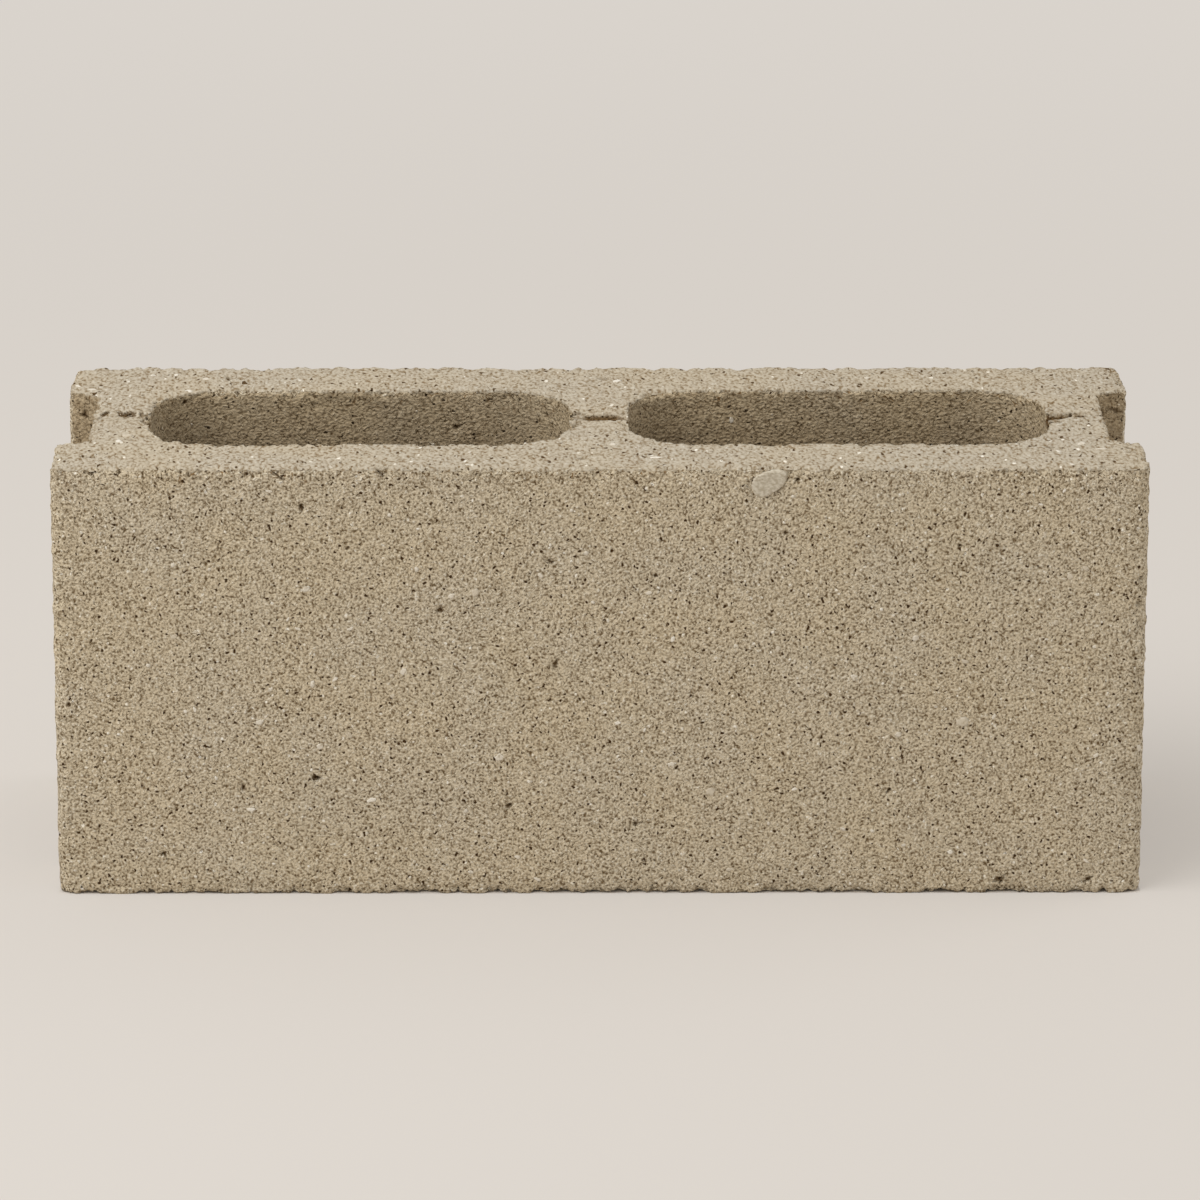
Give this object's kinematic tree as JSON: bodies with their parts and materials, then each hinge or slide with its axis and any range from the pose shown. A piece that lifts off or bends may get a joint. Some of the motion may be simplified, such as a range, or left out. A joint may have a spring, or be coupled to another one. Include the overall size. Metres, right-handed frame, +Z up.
{
  "type": "concrete block",
  "caption": "Hollow concrete masonry block with oblong through cores, a mortar groove down each end and a shallow bar channel across the webs.",
  "frame": {"origin": "middle of the bottom bed, on the surface that the block stands on", "axes": "+X along the block's length, +Y through the wall from the near face to the far face, +Z up from the bottom bed to the top bed that has the bar channel"},
  "size_m": [0.49, 0.175, 0.2],
  "materials": {
    "concrete": "rough open-textured warm grey concrete"
  },
  "bodies": {
    "root": {"hollow_block": "concrete"}
  },
  "joints": []
}
